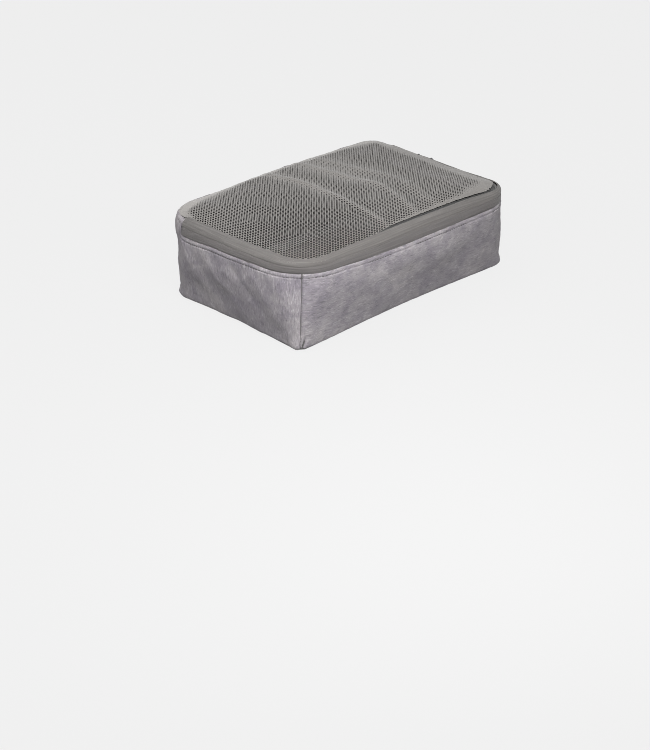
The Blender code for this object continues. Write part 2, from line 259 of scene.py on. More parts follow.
def new_object(name, vertices, faces, materials, face_materials=None, place=None):
    """A smooth object. place holds each vertex's flat coordinates on the piece, for its material."""
    mesh = bpy.data.meshes.new(name)
    mesh.from_pydata([tuple(v) for v in vertices], [], [tuple(f) for f in faces])
    for surface in materials:
        mesh.materials.append(surface)
    if face_materials is not None:
        mesh.polygons.foreach_set("material_index", np.asarray(face_materials, np.int32))
    if place is not None:
        attribute = mesh.attributes.new("place", "FLOAT_VECTOR", "POINT")
        attribute.data.foreach_set("vector", np.asarray(place, np.float32).ravel())
    mesh.polygons.foreach_set("use_smooth", [True] * len(mesh.polygons))
    mesh.update()
    return add_object(name, mesh)


def spaced(length, fine, coarse, band):
    """Places from 0 to length, fine within band of both ends and coarse between."""
    edge = np.arange(0, band, fine)
    middle = np.linspace(band, length - band, max(2, int((length - 2 * band) / coarse)))
    return np.concatenate([edge, middle, length - edge[::-1]])


def folded_cloth(name, base, edge, relief, thickness, inset, materials, seed, rows, yarn_along=True):
    """A wall of cloth from its base line up to its edge, where it folds over and returns.

    base and edge are matching lists of (turn, height). relief gives how far the cloth stands out, from the
    distances along the wall, up it, from the edge and from each end. The inside shows the second material
    below the hem.
    """
    base = np.array(base, float)
    edge = np.array(edge, float)
    side_length = SIDE_LENGTH[int(math.floor(base[len(base) // 2, 0])) % 4]
    domain = base[None] * (1 - rows[:, None, None]) + edge[None] * rows[:, None, None]
    turn, height = domain[..., 0], domain[..., 1]
    along = (turn - turn[0, 0]) * side_length
    flat_edge = np.stack([(edge[:, 0] - turn[0, 0]) * side_length, edge[:, 1]], axis=-1)
    from_edge, _ = nearest_on_line(along, height, flat_edge)
    from_start = (turn - np.minimum(base[0, 0], edge[0, 0])) * side_length
    from_end = (np.maximum(base[-1, 0], edge[-1, 0]) - turn) * side_length
    out = relief(along, height, from_edge, from_start, from_end)
    point, normal, _ = case_frame(turn, height, inset)
    outside = point + normal * out[..., None]
    inside = point + normal * (out - thickness)[..., None]
    last = outside[-1]
    edge_normal = normal[-1]
    tangent = unit(np.gradient(last, axis=0))
    beyond = unit(np.cross(edge_normal, tangent))
    beyond *= np.sign(np.sum(beyond * (outside[-1] - outside[-2]), axis=-1, keepdims=True))
    fold = []
    radius = thickness / 2
    for angle in np.linspace(0, math.pi, 7)[1:-1]:
        fold.append(last + beyond * radius * math.sin(angle) - edge_normal * radius * (1 - math.cos(angle)))
    loops = np.concatenate([outside, np.array(fold), inside[::-1]])
    count, columns = loops.shape[:2]
    place_rows = np.stack([along, height], axis=-1)
    fold_places = np.repeat(place_rows[-1:], len(fold), axis=0)
    places = np.concatenate([place_rows, fold_places, place_rows[::-1]])
    if not yarn_along:
        places = places[..., ::-1]
    places = np.concatenate([places, np.full(places.shape[:2] + (1,), float(seed))], axis=-1)
    index, faces = grid_faces(count, columns, close_rows=True)
    levels = len(rows)
    inner_rows = np.arange(count) >= levels + len(fold)
    below_hem = np.concatenate([from_edge, np.zeros((len(fold), columns)), from_edge[::-1]]) > HEM
    shows_back = (inner_rows[:, None] & below_hem)[:, :-1]
    quad_count = len(faces)
    for column in (0, columns - 1):
        for row in range(levels - 1):
            mirror = count - 1 - row
            faces.append(index[[row, row + 1, mirror - 1, mirror], column].tolist())
        faces.append(index[levels - 1:levels + len(fold) + 1, column].tolist())
    ends = np.zeros(len(faces) - quad_count, int)
    face_materials = np.concatenate([shows_back.astype(int).ravel(), ends])
    obj = new_object(name, loops.reshape(-1, 3), faces, materials, face_materials, places.reshape(-1, 3))
    face_outwards(obj)
    return obj


def nearest_on_line(x, y, line):
    """How far each point is from a line of points, in the flat, and the nearest point of the line."""
    best = np.full(x.shape, 1e9)
    nearest = np.zeros(x.shape + (2,))
    for (ax, ay), (bx, by) in zip(line[:-1], line[1:]):
        dx, dy = bx - ax, by - ay
        length = max(dx * dx + dy * dy, 1e-14)
        share = np.clip(((x - ax) * dx + (y - ay) * dy) / length, 0, 1)
        px, py = ax + share * dx, ay + share * dy
        squared = (x - px) ** 2 + (y - py) ** 2
        closer = squared < best
        best = np.where(closer, squared, best)
        nearest[closer] = np.stack([px, py], axis=-1)[closer]
    return np.sqrt(best), nearest


def stitches(name, points, normals, tangents, length, radius, surface):
    """A row of thread stitches, each a small capsule half sunk in the cloth."""
    rings, sides = 5, 6
    angle = np.linspace(0, math.pi, rings + 2)[1:-1, None]
    turn = np.linspace(0, TAU, sides, endpoint=False)
    ring = np.broadcast_arrays(-np.cos(angle), np.sin(angle) * np.cos(turn), np.sin(angle) * np.sin(turn))
    template = np.concatenate([[(-1, 0, 0)], np.stack(ring, axis=-1).reshape(-1, 3), [(1, 0, 0)]])
    faces = []
    for side in range(sides):
        after = (side + 1) % sides
        faces.append([0, 1 + after, 1 + side])
        last = 1 + (rings - 1) * sides
        faces.append([last + side, last + after, len(template) - 1])
        for ring in range(rings - 1):
            low = 1 + ring * sides
            faces.append([low + side, low + after, low + sides + after, low + sides + side])
    across = np.cross(normals, tangents)
    body = points[:, None] + tangents[:, None] * template[None, :, :1] * length / 2
    body = body + across[:, None] * template[None, :, 1:2] * radius
    body = body + normals[:, None] * template[None, :, 2:] * radius
    count = len(template)
    all_faces = [[corner + count * k for corner in face] for k in range(len(points)) for face in faces]
    return new_object(name, body.reshape(-1, 3), all_faces, [surface])


def distance_run(points):
    return np.concatenate([[0], np.cumsum(np.linalg.norm(np.diff(points, axis=0), axis=1))])


SIDE_SHARPNESS, FACE_SHARPNESS = 0.35, 0.8


def lay_strip(name, points, normals, width, thickness, surface, seed, body, nodes=(), closed=False):
    """A soft-edged strip that follows points, lying flat against normals, joined to the frame."""
    ahead = np.roll(points, -1, 0) - np.roll(points, 1, 0) if closed else np.gradient(points, axis=0)
    ahead = unit(ahead)
    across = unit(np.cross(normals, ahead))
    up = unit(np.cross(ahead, across))
    angle = np.linspace(0, TAU, 16, endpoint=False)
    x, y = np.cos(angle), np.sin(angle)
    x = np.copysign(abs(x) ** SIDE_SHARPNESS, x)
    y = np.copysign(abs(y) ** FACE_SHARPNESS, y) * thickness / 2
    section = np.stack([x, y], axis=-1)
    spread = section[None, :, :1] * np.broadcast_to(width, len(points))[:, None, None] / 2
    loops = points[:, None] + across[:, None] * spread + up[:, None] * section[None, :, 1:]
    rows, sides = loops.shape[:2]
    run = np.repeat(distance_run(points)[:, None], sides, 1)
    places = np.stack([run, spread[:, :, 0], np.full((rows, sides), float(seed))], axis=-1)
    index, faces = grid_faces(rows, sides, close_rows=closed, close_columns=True)
    if not closed:
        faces += [index[0].tolist(), index[-1].tolist()]
    strip = new_object(name, loops.reshape(-1, 3), faces, [surface], place=places.reshape(-1, 3))
    face_outwards(strip)
    dress(strip, body, nodes)


# ---- materials

class Nodes:
    """A short way to write a material's node tree."""

    def __init__(self, name, roughness, metallic=0.0, sheen=0.0):
        self.material = bpy.data.materials.new(name)
        self.material.use_nodes = True
        self.tree = self.material.node_tree
        self.shader = self.tree.nodes["Principled BSDF"]
        self.set(Roughness=roughness, Metallic=metallic, Sheen_Weight=sheen, Sheen_Roughness=0.6)

    def set(self, **inputs):
        for name, value in inputs.items():
            self.put(self.shader.inputs[name.replace("_", " ")], value)

    def put(self, socket, value):
        if hasattr(value, "node"):
            self.tree.links.new(value, socket)
        else:
            socket.default_value = value

    def add(self, kind, values=(), **settings):
        """A node with these settings, and values or links for its inputs by name or number."""
        node = self.tree.nodes.new("ShaderNode" + kind)
        for name, value in settings.items():
            setattr(node, name, value)
        for socket, value in dict(values).items():
            self.put(node.inputs[socket], value)
        return node

    def maths(self, operation, *values):
        return self.add("Math", enumerate(values), operation=operation).outputs[0]

    def split(self, vector):
        return self.add("SeparateXYZ", {0: vector}).outputs

    def stretched(self, stretch, whole=False):
        """The piece's own flat coordinates, or whole ones in space, times stretch each way."""
        if whole:
            source = self.add("TexCoord").outputs["Object"]
        else:
            source = self.add("Attribute", attribute_name="place").outputs["Vector"]
        return self.add("VectorMath", {0: source, 1: stretch}, operation="MULTIPLY").outputs[0]

    def noise(self, stretch, detail=2.0, roughness=0.5, distortion=0.0, whole=False):
        values = dict(Scale=1.0, Detail=detail, Roughness=roughness, Distortion=distortion)
        return self.add("TexNoise", {"Vector": self.stretched(stretch, whole), **values}).outputs[0]

    def ramp(self, value, *stops):
        node = self.add("ValToRGB", {"Fac": value})
        elements = node.color_ramp.elements
        while len(elements) < len(stops):
            elements.new(0.5)
        for element, (position, colour) in zip(elements, stops):
            element.position = position
            element.color = (*colour, 1.0) if isinstance(colour, tuple) else (colour, colour, colour, 1.0)
        return node.outputs[0]

    def mix(self, amount, first, second, mode="MIX"):
        first, second = ((*c, 1.0) if isinstance(c, tuple) else c for c in (first, second))
        values = {0: amount, 6: first, 7: second}
        return self.add("Mix", values, data_type="RGBA", blend_type=mode).outputs[2]

    def tint(self, colour, value, low, high, amount, other, mode="MIX"):
        """The colour with this amount of another where a value is over high, and none of it under low."""
        return self.mix(self.ramp(value, (low, 0.0), (high, amount)), colour, other, mode)

    def finish(self, colour, height=None, depth=0.0001, strength=1.0):
        self.set(Base_Color=colour)
        if height is not None:
            values = dict(Strength=strength, Distance=depth, Height=height)
            self.set(Normal=self.add("Bump", values).outputs[0])
        return self.material


CLOTH_WEAVE = (0.52 * MM, 0.46 * MM)


def weave(nodes, pitch_along, pitch_across):
    """Height of a plain weave with this many metres between yarns each way."""
    flat = nodes.stretched((TAU / pitch_along, TAU / pitch_across, 0.0))
    along, across, _ = nodes.split(flat)
    return nodes.maths("MULTIPLY", nodes.maths("SINE", along), nodes.maths("SINE", across))


def heather_cloth(name, base, light, dark, cloud):
    """Woven polyester with short lighter and darker slubs in its weft, and a crinkled, clouded finish."""
    nodes = Nodes(name, 0.86, sheen=0.2)
    slubs = nodes.noise((210.0, 950.0, 7.3), detail=3.0, roughness=0.6, distortion=0.6)
    nubs = nodes.noise((300.0, 1300.0, 3.1), detail=2.0, distortion=0.5)
    cross = nodes.noise((1300.0, 260.0, 5.7), detail=2.0)
    clouds = nodes.noise((75.0, 75.0, 2.3), detail=4.0, roughness=0.55, distortion=0.6)
    broad = nodes.noise((24.0, 34.0, 4.9), detail=2.0)
    colour = nodes.ramp(slubs, (0.30, dark), (0.46, base), (0.56, base), (0.70, light))
    colour = nodes.tint(colour, nubs, 0.60, 0.70, 0.75, light)
    colour = nodes.tint(colour, cross, 0.56, 0.76, 0.20, dark)
    colour = nodes.tint(colour, clouds, 0.40, 0.60, 0.80, cloud, "MULTIPLY")
    colour = nodes.tint(colour, broad, 0.38, 0.64, 0.75, cloud, "MULTIPLY")
    relief = nodes.maths("MULTIPLY_ADD", weave(nodes, *CLOTH_WEAVE), 0.25, slubs)
    height = nodes.maths("MULTIPLY_ADD", clouds, 2.2, relief)
    return nodes.finish(colour, height, depth=0.00022, strength=0.9)


def woven_tape(name, base, light, rib):
    """Closely woven tape with fine ribs along it."""
    nodes = Nodes(name, 0.72, sheen=0.2)
    lines = nodes.noise((18.0, 1500.0, 4.0), detail=2.0)
    patches = nodes.noise((60.0, 160.0, 2.0), detail=3.0)
    colour = nodes.ramp(lines, (0.36, base), (0.66, light))
    colour = nodes.tint(colour, patches, 0.4, 0.7, 0.35, base)
    height = nodes.maths("MULTIPLY_ADD", weave(nodes, rib, rib * 1.2), 0.6, lines)
    return nodes.finish(colour, height, depth=0.00008, strength=0.8)


# The third coordinate of the net's place where no painted sheen is. Along the back border, where the net
# lies double, it is up to 1 more, and the yarn is painted paler there as painted sheen.
PLAIN_YARN = 9.0


def knitted_yarn(name, base, light, pale):
    """Filament yarn of the net: small loops on each bar between the holes, and a painted sheen that makes
    it paler where the net lies double at the back border.
    """
    nodes = Nodes(name, 0.62, sheen=0.3)
    loops = nodes.noise((1900.0, 1100.0, 1.0), detail=2.0)
    uneven = nodes.noise((60.0, 60.0, 1.0), detail=2.0)
    colour = nodes.ramp(loops, (0.30, base), (0.70, light))
    colour = nodes.tint(colour, uneven, 0.4, 0.7, 0.25, base)
    _, _, sheen_place = nodes.split(nodes.stretched((0.0, 0.0, 1.0)))
    # Painted sheen: the yarn is mixed towards the third, paler colour as the third coordinate rises above
    # PLAIN_YARN.
    colour = nodes.mix(nodes.maths("SUBTRACT", sheen_place, PLAIN_YARN), colour, pale)
    return nodes.finish(colour, loops, depth=0.00015, strength=0.8)


def coated_back(name, colour):
    """The coated wrong side of the cloth: smooth, dark, with the weave showing faintly through."""
    nodes = Nodes(name, 0.48)
    stains = nodes.noise((140.0, 140.0, 1.0), detail=3.0)
    lighter = tuple(min(1.0, c * 1.35) for c in colour)
    tone = nodes.ramp(stains, (0.35, colour), (0.7, lighter))
    return nodes.finish(tone, weave(nodes, *CLOTH_WEAVE), depth=0.00006, strength=0.5)


def moulded(name, colour, roughness, metallic=0.0):
    """Nylon or enamelled metal with slight unevenness and wear."""
    nodes = Nodes(name, roughness, metallic)
    fine = nodes.noise((900.0, 900.0, 900.0), whole=True, detail=3.0)
    broad = nodes.noise((180.0, 180.0, 180.0), whole=True, detail=2.0)
    lighter = tuple(min(1.0, c * 1.3) for c in colour)
    tone = nodes.ramp(broad, (0.35, colour), (0.72, lighter))
    rough = nodes.maths("MULTIPLY_ADD", fine, 0.16, roughness - 0.08)
    nodes.set(Roughness=rough)
    return nodes.finish(tone, fine, depth=0.00004, strength=0.35)


HEATHER = heather_cloth(
    "heather", (0.400, 0.370, 0.386), (0.600, 0.568, 0.580), (0.240, 0.220, 0.236), (0.70, 0.69, 0.74),
)
COATED = coated_back("coated_back", (0.014, 0.013, 0.014))
TAPE = woven_tape("zip_tape", (0.126, 0.117, 0.111), (0.187, 0.175, 0.166), 0.00045)
# The lower tape is the same tape as the upper one, made darker as painted shade for the shade the lower
# half of the band sits in.
PAINTED_SHADE_LOWER_TAPE = woven_tape("lower_zip_tape", (0.108, 0.099, 0.097), (0.157, 0.145, 0.142), 0.00045)
# The third colour is a painted sheen for the net's back border.
YARN = knitted_yarn("mesh_yarn", (0.174, 0.162, 0.151), (0.256, 0.240, 0.225), (0.365, 0.345, 0.325))
# Near-black strip cloth: painted shadow laid in the gap between the zip band and the net.
PAINTED_SHADOW_STRIP = woven_tape("channel_painted_shadow", (0.020, 0.020, 0.020), (0.034, 0.033, 0.032), 0.00060)
BINDING = woven_tape("bias_binding", (0.080, 0.077, 0.077), (0.120, 0.116, 0.114), 0.00060)
WEBBING = woven_tape("webbing", (0.170, 0.158, 0.162), (0.250, 0.236, 0.240), 0.00110)
# Dark thread, partly its own colour and partly painted shade: darker than the cloth so that the stitch
# grooves read as shaded lines.
THREAD = moulded("thread", (0.085, 0.080, 0.080), 0.6)
TAPE_THREAD = moulded("tape_thread", (0.240, 0.228, 0.216), 0.6)
COIL = moulded("coil_nylon", (0.120, 0.115, 0.108), 0.42)
METAL = moulded("slider_enamel", (0.130, 0.130, 0.136), 0.34, 0.85)


# ---- walls of the case

CLOTH_THICKNESS = 0.8 * MM
SEAM_GAP = 0.1 * MM
STITCH_LINE = 2.9 * MM
STITCH_STEP = 2.9 * MM
HEM = 8.0 * MM
WALL_FOOT = 0.3 * MM


# How far from a seam, and from the floor, the cloth is held flat
SEAM_SLACK, FOOT_SLACK = 16 * MM, 9 * MM
# Depth and wavelength of the uneven surface between the seams
CRINKLE = (0.14 * MM, 15 * MM)
# Depth and width of the groove at a seam, at a row of stitches, at a folded edge and at the floor
SEAM_GROOVE = (1.5 * MM, 0.9 * MM)
STITCH_GROOVE = (0.65 * MM, 0.60 * MM)
FOLD_GROOVE = (0.25 * MM, 0.5 * MM)
FOOT_GROOVE = (0.7 * MM, 1.1 * MM)
# Depth, wavelength and reach of the puckers at a seam, at the stitched edge and at the floor
SEAM_PUCKER = (0.22 * MM, 7 * MM, 5 * MM)
EDGE_PUCKER = (0.20 * MM, 5.5 * MM, 4 * MM)
FOOT_PUCKER = (0.05 * MM, 9 * MM, 5 * MM)


def ridge(distance, size):
    return size[0] * bump(distance, size[1])


def fade(distance, reach):
    return np.exp(-distance / reach)


def puckers(along, away, distance, size, seed):
    """Waves along a seam that fade with distance from it."""
    depth, wavelength, reach = size
    return depth * waves(along, away, wavelength, seed) * fade(distance, reach)


def wall_relief(seed, dent, edge_pull=1.0, extra=None):
    """How a sewn wall stands out: rolled in at its seams, stitched along its edge, uneven between."""
    def relief(along, height, from_edge, from_start, from_end):
        foot = height - WALL_FOOT
        slack = (1 - fade(from_start, SEAM_SLACK)) * (1 - fade(from_end, SEAM_SLACK))
        slack = slack * (1 - fade(foot, FOOT_SLACK))
        out = dent * waves(along, height * 1.3, 46 * MM, seed) * slack
        out = out + CRINKLE[0] * waves(along, height, CRINKLE[1], seed + 1) * slack
        for distance, shift in ((from_start, 2), (from_end, 3)):
            pucker = puckers(height, distance * 0.15, distance, SEAM_PUCKER, seed + shift)
            out = out - ridge(distance, SEAM_GROOVE) * (1 - 0.5 * bump(height, 6 * MM))
            out = out + pucker * (1 - bump(distance, 0.8 * MM))
            out = out + ridge(distance - 3 * MM, (0.4 * MM, 2.2 * MM))
        below = np.clip(from_edge - STITCH_LINE, 0, None)
        ripple = puckers(along, height * 0.1, below, EDGE_PUCKER, seed + 4)
        ripple = ripple * (from_edge > STITCH_LINE)
        grooves = ridge(from_edge - STITCH_LINE, STITCH_GROOVE) + ridge(from_edge, FOLD_GROOVE)
        out = out + edge_pull * (ripple - grooves)
        out = out - ridge(foot, FOOT_GROOVE) + puckers(along, height * 0.1, foot, FOOT_PUCKER, seed + 5)
        return out if extra is None else out + extra(along, height)
    return relief


def wall_rows(length):
    """Shares of a wall's height, close together at its foot and under its edge."""
    foot, edge = 4 * MM, length - 6 * MM
    rows = np.linspace(0, foot, 11)[:-1], np.linspace(foot, edge, 34)[:-1], np.linspace(edge, length, 22)
    return np.concatenate(rows) / length


def cloth_wall(name, base, edge, relief, seed, nodes, yarn_along=True):
    """A wall of heather cloth."""
    rows = wall_rows(edge[len(edge) // 2][1] - WALL_FOOT)
    cloths = [HEATHER, COATED]
    wall = folded_cloth(name, base, edge, relief, CLOTH_THICKNESS, 0.0, cloths, seed, rows, yarn_along)
    dress(wall, "case", nodes)


def straight_wall(name, side, top, relief, seed, nodes):
    length = SIDE_LENGTH[side]
    trim = SEAM_GAP / length
    turns = side + trim + spaced(length, 0.35 * MM, 1.25 * MM, 5 * MM) / length * (1 - 2 * trim)
    base = [(turn, WALL_FOOT) for turn in turns]
    edge = [(turn, top) for turn in turns]
    cloth_wall(name, base, edge, relief, seed, nodes)


# How far the columns of an end wall lean towards the end of the zip at their foot
BASE_SPREAD = 0.92


def end_wall(name, side, relief, seed, nodes):
    """A short wall, whose edge turns up to the rim past the end of the zip."""
    length = SIDE_LENGTH[side]
    trim = SEAM_GAP / length
    rounding = 4.5 * MM
    stop = ZIP_END * length
    edge = [(d, CLOTH_RIM) for d in np.linspace(0, stop, 12)[:-1]]
    edge += [(stop, z) for z in np.linspace(CLOTH_RIM, BAND_FOOT + rounding, 8)[:-1]]
    for angle in np.linspace(0, math.pi / 2, 9):
        edge.append((stop + rounding * (1 - math.cos(angle)), BAND_FOOT + rounding * (1 - math.sin(angle))))
    edge += [(d, BAND_FOOT) for d in np.linspace(stop + rounding, length, 125)[1:]]
    run = np.linspace(0, 1, len(edge)) ** BASE_SPREAD
    base = [(d, WALL_FOOT) for d in run * length]
    start, way = side + trim, 1 - 2 * trim
    if side == RIGHT:
        start, way = side + 1 - trim, 2 * trim - 1
        base, edge = base[::-1], edge[::-1]
    base, edge = ([(start + d / length * way, z) for d, z in line] for line in (base, edge))
    cloth_wall(name, base, edge, relief, seed, nodes, yarn_along=False)


HINGED = "case to lid"


def dress(piece, body, nodes=()):
    if body == HINGED:
        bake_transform(piece)
    else:
        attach(piece, body)
    if nodes:
        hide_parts(*nodes)
    return piece


def front_pucker(along, height):
    """The pinch beside the foot of the front corner seam."""
    middle = 2.4 * MM + 0.25 * (height - 4 * MM)
    return -2.8 * MM * bump(along - middle, 1.3 * MM) * bump(height - 6 * MM, 4.5 * MM)


# In millimetres: where each starts under the zip, how far it slants by the floor, how far it stands out
LEFT_CREASES = ((20, 46, 1.1), (47, 60, 0.9), (78, 64, -0.9), (104, 52, 0.8))


def left_creases(along, height):
    """Slanting soft folds of the left wall, from under the zip down towards the front corner."""
    down = (BAND_FOOT - height) / BAND_FOOT
    strength = np.clip(down * 5, 0, 1) * (1 - 0.5 * down)
    out = np.zeros(np.broadcast(along, height).shape)
    for start, reach, depth in LEFT_CREASES:
        line = (start + reach * down) * MM
        out = out + depth * MM * bump(along - line, (5 + 7 * down) * MM) * strength
    return out


def make_walls():
    front = wall_relief(11, 0.5 * MM, extra=front_pucker)
    straight_wall("front_cloth", FRONT, BAND_FOOT, front, 1, ["front_panel"])
    straight_wall("back_cloth", BACK, CLOTH_RIM, wall_relief(31, 0.45 * MM, 0.5), 3, ["back_panel"])
    left = wall_relief(41, 0.45 * MM, extra=left_creases)
    end_wall("left_cloth", LEFT, left, 4, ["left_panel", "left_zip_end_tab"])
    end_wall("right_cloth", RIGHT, wall_relief(21, 0.4 * MM), 2, ["right_panel", "right_zip_end_tab"])


def make_floor_cloth():
    """The floor panel, drawn in to its seam all round."""
    turns = np.arange(0, 4, 0.01)
    shares = np.concatenate([[1.0, 0.995, 0.985, 0.97, 0.95], np.linspace(0.92, 0.04, 34)])
    rim = case_point(turns, WALL_FOOT, 0.8 * MM)
    loops = []
    for share in shares:
        ring = rim * share
        edge = np.linalg.norm(rim[:, :2], axis=1) * (1 - share)
        ring[:, 2] = 0.15 * MM + 0.55 * MM * bump(edge, 1.6 * MM)
        loops.append(ring)
    bottom = np.array(loops)
    points = np.concatenate([bottom[::-1], bottom + (0, 0, CLOTH_THICKNESS)])
    rows, columns = points.shape[:2]
    index, faces = grid_faces(rows, columns, close_columns=True)
    faces += [index[0].tolist(), index[-1].tolist()]
    levels = np.repeat(np.arange(rows - 1), columns)
    face_materials = (levels >= len(shares)).astype(int).tolist() + [0, 1]
    places = points.reshape(-1, 3) * (1, 1, 0) + (0, 0, 5.0)
    points = points.reshape(-1, 3)
    floor = new_object("floor_cloth", points, faces, [HEATHER, COATED], face_materials, places)
    face_outwards(floor)
    dress(floor, "case", ["bottom_panel"])


def sew(name, turns, height, depth, length, radius):
    """A row of stitches round the case, sunk this deep in its outer surface."""
    point, normal, along = case_frame(turns, height)
    thread = stitches(name, point - normal * depth, normal, along, length, radius, THREAD)
    dress(thread, "case")


def wall_stitches():
    """The topstitching under the folded edge, all along the zip, and along the hinge seam."""
    rows = []
    unsewn = ZIP_END * 1.5
    for side, start, end in ((LEFT, unsewn, 1.0), (FRONT, 0.0, 1.0), (RIGHT, 0.0, 1 - unsewn)):
        length = SIDE_LENGTH[side]
        rows.append(side + np.arange(start * length, end * length, STITCH_STEP) / length)
    turns, height = np.concatenate(rows), BAND_FOOT - STITCH_LINE
    sew("topstitch", turns, height, 0.55 * MM, 2.3 * MM, 0.28 * MM)
    length = SIDE_LENGTH[BACK]
    turns = BACK + np.arange(4 * MM, length - 4 * MM, STITCH_STEP) / length
    sew("hinge_stitch", turns, CLOTH_RIM - STITCH_LINE, 0.15 * MM, 2.2 * MM, 0.26 * MM)


# ---- zip

TAPE_THICKNESS = 0.6 * MM
TAPE_INSET = 1.1 * MM
TAPE_SWELL = 0.75 * MM
# How far the end of a tape is tucked in, then depth and width of the grooves there and at the parting line
TAPE_TUCK = 2.7 * MM
END_GROOVE = (1.1 * MM, 0.9 * MM)
PARTING_GROOVE = (0.30 * MM, 0.45 * MM)
SLIT = 0.12 * MM
COIL_WIDTH = 2.1 * MM
COIL_DEPTH = 1.24 * MM
COIL_PITCH = 1.25 * MM
WIRE = 0.27 * MM
ZIP_TURNS = (3 + ZIP_END, 6 - ZIP_END)


def tape_relief(seed):
    """How a tape stands out: tucked under the cloth, swelling above it, turned in at the parting line."""
    def relief(along, height, from_edge, from_start, from_end):
        end = np.minimum(from_start, from_end)
        above = smooth_step((height - BAND_FOOT - 0.3 * MM) / (1.3 * MM))
        out = TAPE_SWELL * above * smooth_step(end / (3 * MM) - 1.1)
        out = out - ridge(from_edge, PARTING_GROOVE) - ridge(end - TAPE_TUCK, END_GROOVE)
        out = out + 0.12 * MM * waves(along, height * 0.3, 34 * MM, seed)
        return out + 0.03 * MM * waves(along, height * 0.1, 3.2 * MM, seed + 1)
    return relief


def make_tape(name, base_height, edge_height, seed, surface, body, node):
    turns = np.linspace(ZIP_TURNS[0] - 0.012, ZIP_TURNS[1] + 0.012, 460)
    base = [(turn, base_height) for turn in turns]
    edge = [(turn, edge_height) for turn in turns]
    rows = np.linspace(0, 1, 26)
    tape = folded_cloth(
        name, base, edge, tape_relief(seed), TAPE_THICKNESS, TAPE_INSET, [surface, surface], seed, rows,
    )
    dress(tape, body, [node])


def make_coil(name, height, direction, phase, body, node):
    """A flattened helix of nylon along the inside of a tape, its loops just past the parting line."""
    inset = TAPE_INSET + TAPE_THICKNESS + 0.9 * MM
    fine = np.linspace(ZIP_TURNS[0] + 0.02, ZIP_TURNS[1] - 0.02, 1500)
    run = distance_run(case_point(fine, height, inset))
    count = int(run[-1] / COIL_PITCH * 10)
    travel = np.linspace(0, run[-1], count)
    angle = travel / COIL_PITCH * TAU + phase
    centre, out, along = case_frame(np.interp(travel, run, fine), height, inset)
    up = unit(np.cross(out, along)) * direction
    line = centre + up * (np.cos(angle) * COIL_WIDTH / 2)[:, None]
    line = line + out * (np.sin(angle) * COIL_DEPTH / 2)[:, None]
    forward = unit(np.gradient(line, axis=0))
    side = unit(np.cross(forward, along))
    other = unit(np.cross(forward, side))
    around = np.linspace(0, TAU, 5, endpoint=False)[None, :, None]
    loops = line[:, None] + WIRE * (side[:, None] * np.cos(around) + other[:, None] * np.sin(around))
    index, faces = grid_faces(count, 5, close_columns=True)
    faces += [index[0].tolist(), index[-1].tolist()]
    coil = new_object(name, loops.reshape(-1, 3), faces, [COIL])
    face_outwards(coil)
    dress(coil, body, [node])


def make_zip():
    make_tape("lower_tape", BAND_FOOT - 2.5 * MM, PARTING - SLIT, 51, PAINTED_SHADE_LOWER_TAPE, "case", "lower_zip_tape")
    make_tape("upper_tape", RIM - 0.1 * MM, PARTING + SLIT, 61, TAPE, "lid", "upper_zip_tape")
    make_coil("lower_coil", PARTING - 1.0 * MM, 1, 0.0, "case", "lower_zip_coil")
    make_coil("upper_coil", PARTING + 1.0 * MM, -1, math.pi, "lid", "upper_zip_coil")
    turns = np.linspace(ZIP_TURNS[0] + 0.01, ZIP_TURNS[1] - 0.01, 195)
    for row, below in (("upper", 1.0 * MM), ("lower", 2.4 * MM)):
        point, normal, along = case_frame(turns, RIM - below, TAPE_INSET - TAPE_SWELL + 0.08 * MM)
        thread = stitches(f"tape_stitch_{row}", point, normal, along, 1.6 * MM, 0.17 * MM, TAPE_THREAD)
        dress(thread, "lid")


# ---- mesh lid

# The net: slanting lanes of long holes, each lane half a hole out of step with the next
LANE_PITCH = 2.1 * MM
HOLE_PITCH = 2.6 * MM
HOLE_HALF = (0.80 * MM, 0.98 * MM)
SLIVER_AREA = 1e-9
YARN_SCATTER = 0.03 * MM
YARN_DROOP = 0.16 * MM
LANE_HEADING = math.radians(46.3)
# Folds that cross the lid: sharpness and height, then points along each
FOLDS = (
    (3.0 * MM, 1.5 * MM, ((-79, -20), (-45, -17), (-10, -11), (33, -9), (66, -15))),
    (4.2 * MM, 1.4 * MM, ((-75, 15), (-45, 24), (-16, 35), (10, 30), (48, 24), (78, 20))),
    (5.0 * MM, 0.8 * MM, ((-60, 42), (-10, 58), (30, 47), (75, 40))),
)
# Turn, then how wide the border is there, where the net shows no holes
BORDER = in_mm(
    (0.0, 0.0), (0.35, 0.0), (0.5, 1.6), (0.85, 4.0), (1.0, 11), (1.3, 14), (1.6, 11), (1.95, 12),
    (2.0, 15), (2.15, 9), (2.7, 8), (2.9, 14), (3.0, 17), (3.08, 6), (3.2, 0.3), (3.35, 0.0), (4.0, 0.0),
)
# Turn, then how far the net is set in from the rim. In front it is over a channel, where a strip of painted
# shadow lies.
SET_IN = in_mm(
    (0.0, 1.0), (0.30, 1.0), (0.42, 6.4), (0.9, 8.6), (1.0, 5.6), (1.08, 0.4), (1.2, 0.0), (1.84, 0.0),
    (1.90, -0.9), (3.10, -0.9), (3.16, 0.0), (3.24, 1.0), (4.0, 1.0),
)
# Turn, then how far below the rim the edge of the net lies
RECESS = in_mm(
    (0.0, 0.6), (0.3, 0.7), (0.9, 1.4), (1.05, 0.6), (1.15, -0.4), (1.84, -0.4), (1.9, 1.0), (3.08, 1.0),
    (3.16, 0.0), (3.24, 0.5), (4.0, 0.6),
)
# Turns over which the strip of painted shadow lies in front of the net
SHADOW_STRIP_TURNS = (0.28, 1.12)
